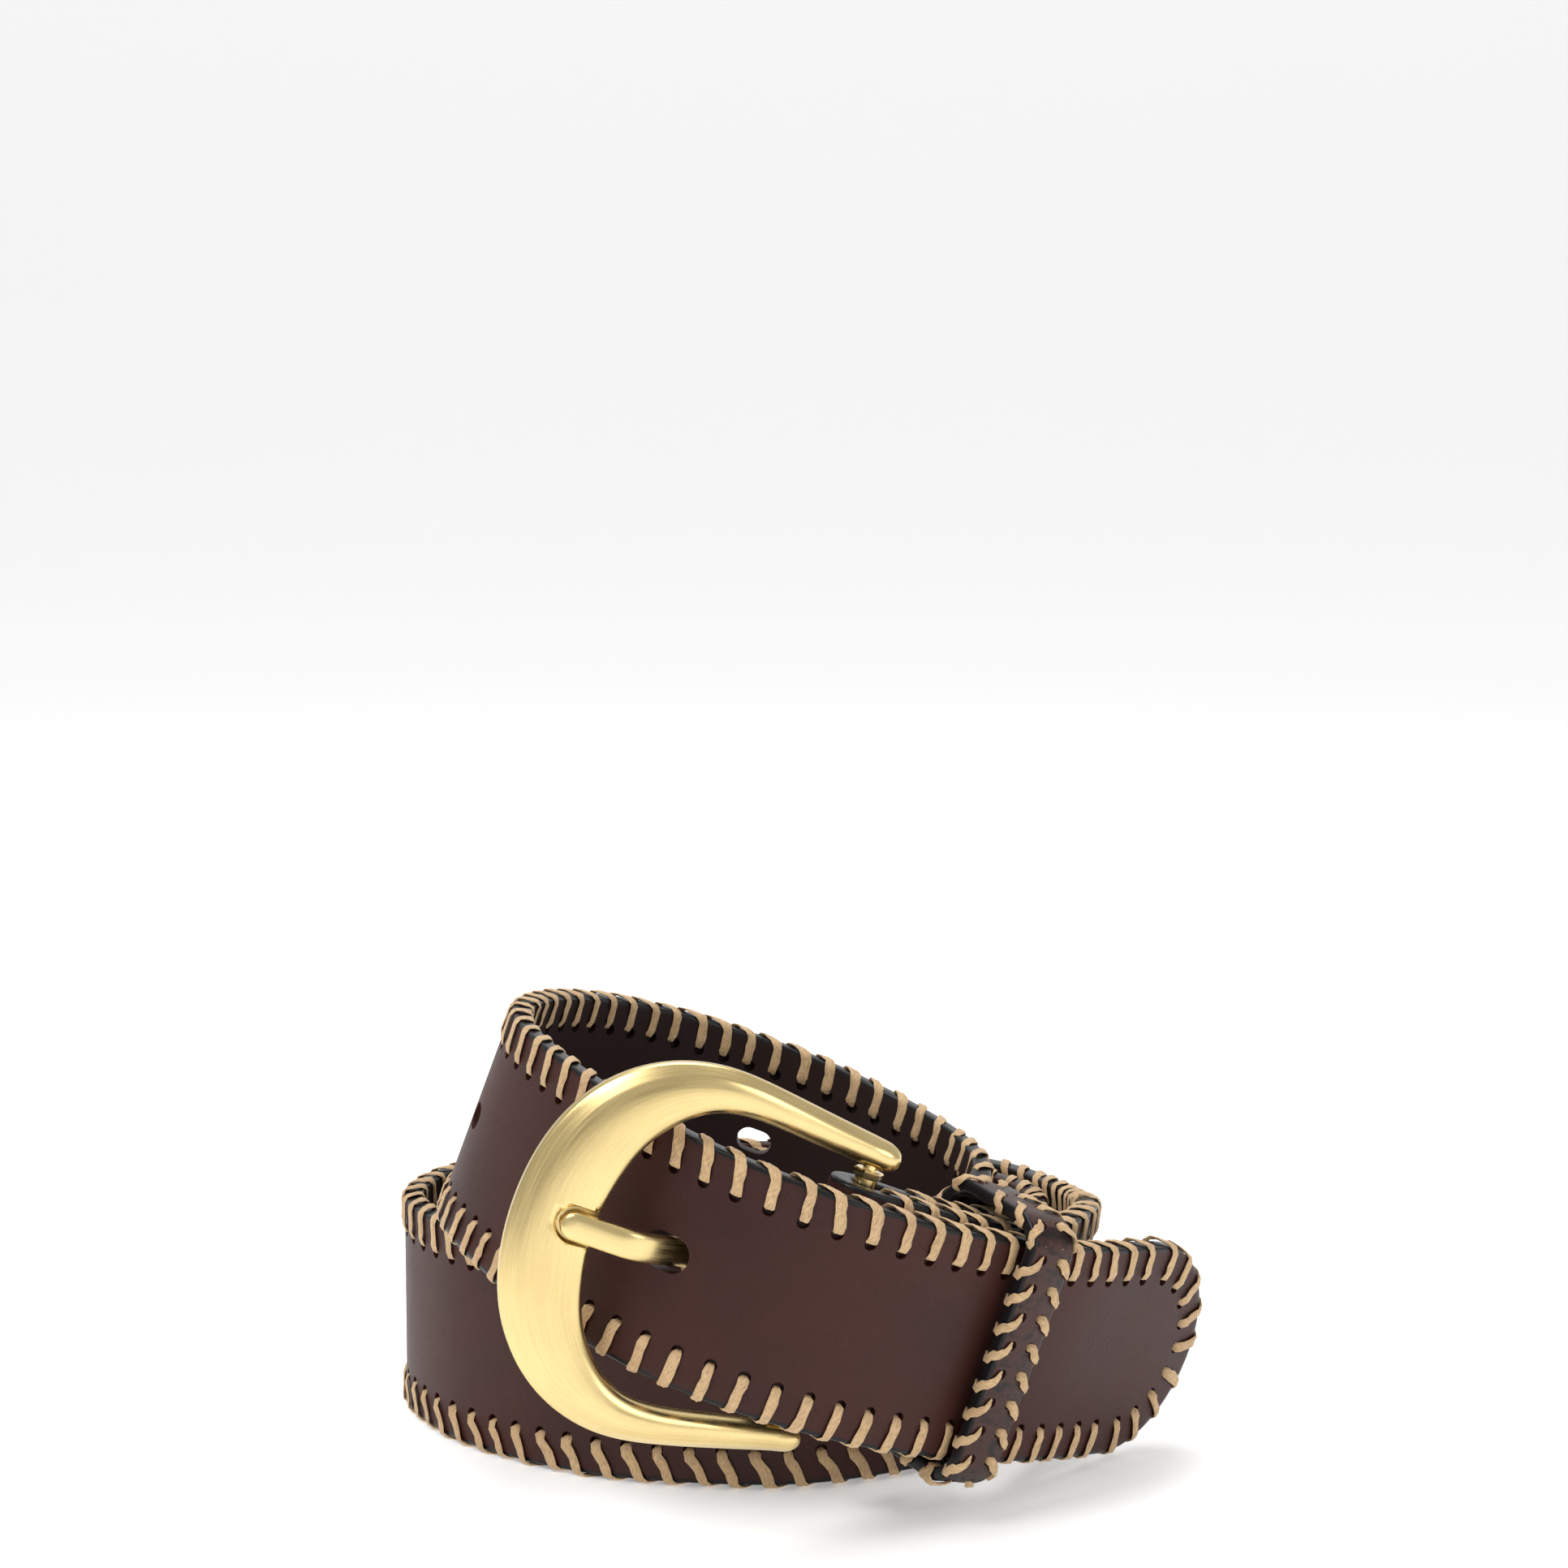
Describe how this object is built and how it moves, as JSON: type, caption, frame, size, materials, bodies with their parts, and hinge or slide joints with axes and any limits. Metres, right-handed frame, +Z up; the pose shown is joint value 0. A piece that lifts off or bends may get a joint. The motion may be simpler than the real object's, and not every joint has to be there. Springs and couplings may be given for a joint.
{
  "type": "leather belt",
  "caption": "Coiled and buckled leather belt with whip-laced edges, a sliding keeper and a horseshoe brass buckle with a prong.",
  "frame": {"origin": "middle of the coiled belt's footprint, on the surface it stands on", "axes": "+X along the coil towards the strap's tip, -Y towards the viewer of the buckle, +Z up"},
  "size_m": [0.1508, 0.1388, 0.0842],
  "materials": {
    "brown_leather": "smooth dark brown leather with a fine pore grain and burnished, nearly black edges",
    "waxed_lacing": "flat waxed natural tan thread, fibrous",
    "brushed_brass": "satin-brushed pale brass with polished bevels"
  },
  "bodies": {
    "strap": {"strap": "brown_leather", "strap_lacing_upper": "waxed_lacing", "strap_lacing_lower": "waxed_lacing", "flap_lacing_upper": "waxed_lacing", "flap_lacing_lower": "waxed_lacing", "screw_post_a": "brushed_brass", "screw_post_b": "brushed_brass", "screw_a": "brushed_brass", "screw_b": "brushed_brass"},
    "buckle": {"buckle_frame": "brushed_brass", "heel_bar": "brushed_brass"},
    "prong": {"prong": "brushed_brass"},
    "keeper": {"keeper": "brown_leather", "keeper_lacing_left": "waxed_lacing", "keeper_lacing_right": "waxed_lacing"}
  },
  "joints": [
    {"name": "buckle_swing", "type": "hinge", "parent": "strap", "child": "buckle", "pos_m": [0.00514, -0.05457, 0.04178], "axis": [0.3351, 0.0387, 0.9414], "range_deg": [-2.5, 1]},
    {"name": "prong_pivot", "type": "hinge", "parent": "buckle", "child": "prong", "pos_m": [0.00514, -0.05457, 0.04178], "axis": [0.3351, 0.0387, 0.9414], "range_deg": [0, 1]},
    {"name": "keeper_slide", "type": "slide", "parent": "strap", "child": "keeper", "axis": [0.736, 0.6266, -0.2561], "range_m": [-0.002, 0.0015]}
  ]
}
